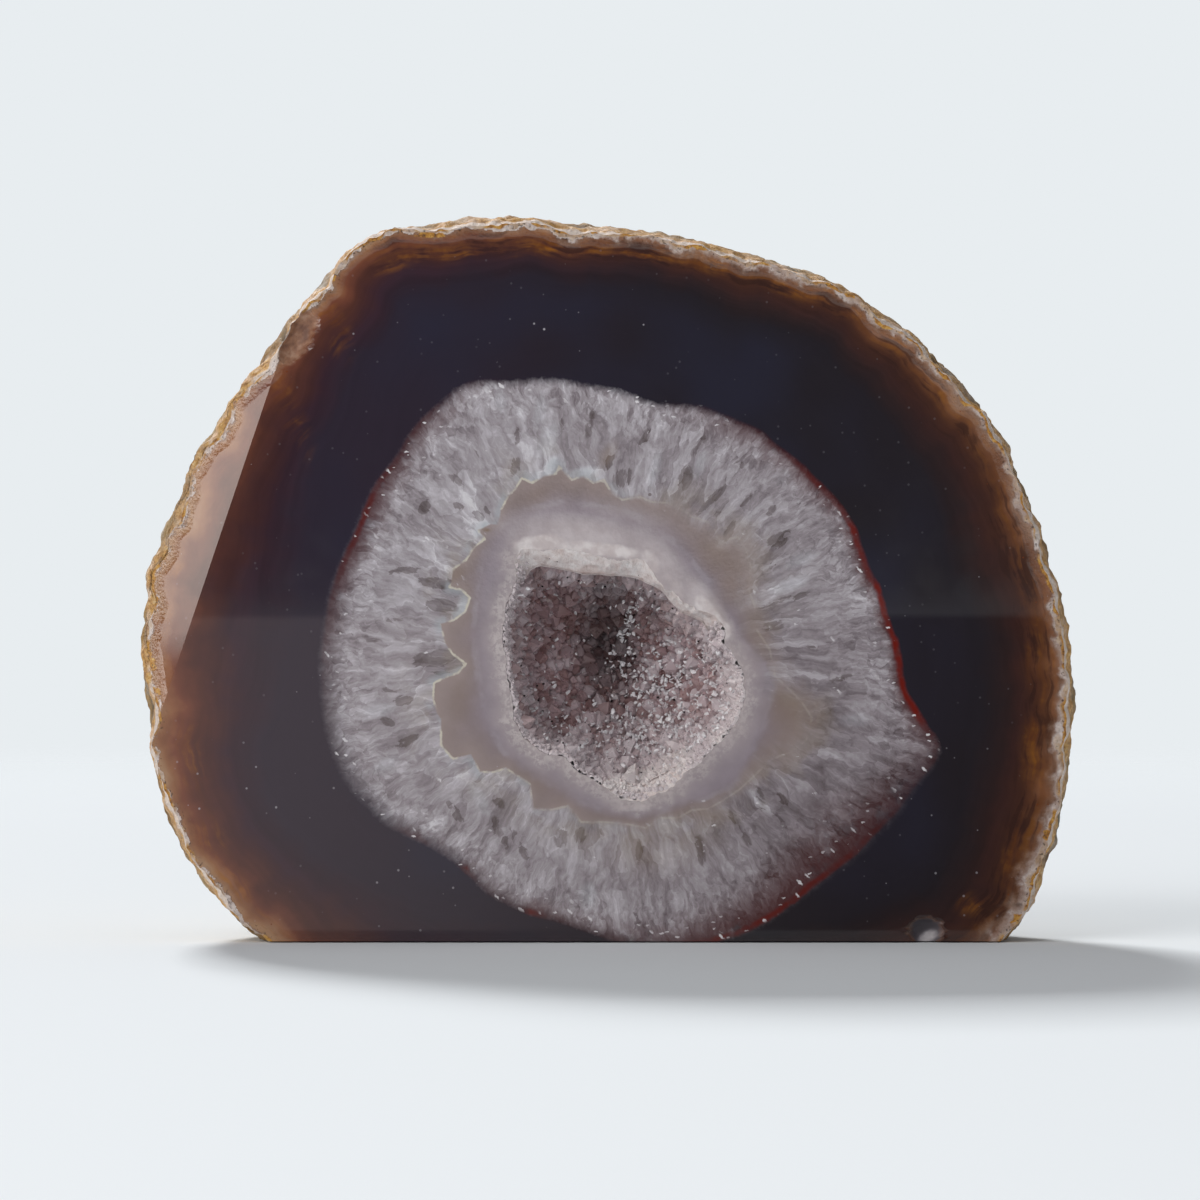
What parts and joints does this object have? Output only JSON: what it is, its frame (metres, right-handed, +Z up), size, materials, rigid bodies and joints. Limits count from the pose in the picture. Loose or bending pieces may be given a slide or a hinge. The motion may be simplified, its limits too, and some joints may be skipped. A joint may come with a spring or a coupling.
{
  "type": "agate geode",
  "caption": "Agate geode sawn and polished across a quartz-lined hollow, with rough rind behind and a flat sawn base that it stands on.",
  "frame": {"origin": "middle of the bounding box at the level of the sawn base", "axes": "+Z up from the sawn base, -Y out of the polished front, +X to the right as the polished front is seen"},
  "size_m": [0.1404, 0.058, 0.1088],
  "materials": {
    "agate": "polished banded agate, dark violet grey in the middle of the band and red brown to tan near the rind, with a grey quartz comb inside",
    "rind": "rough natural rind, pinkish white crust under an ochre skin, matt and pitted",
    "quartz": "fine quartz crystals, greyish mauve, partly see-through, with bright facets"
  },
  "bodies": {
    "root": {"agate_geode": "agate"}
  },
  "joints": []
}
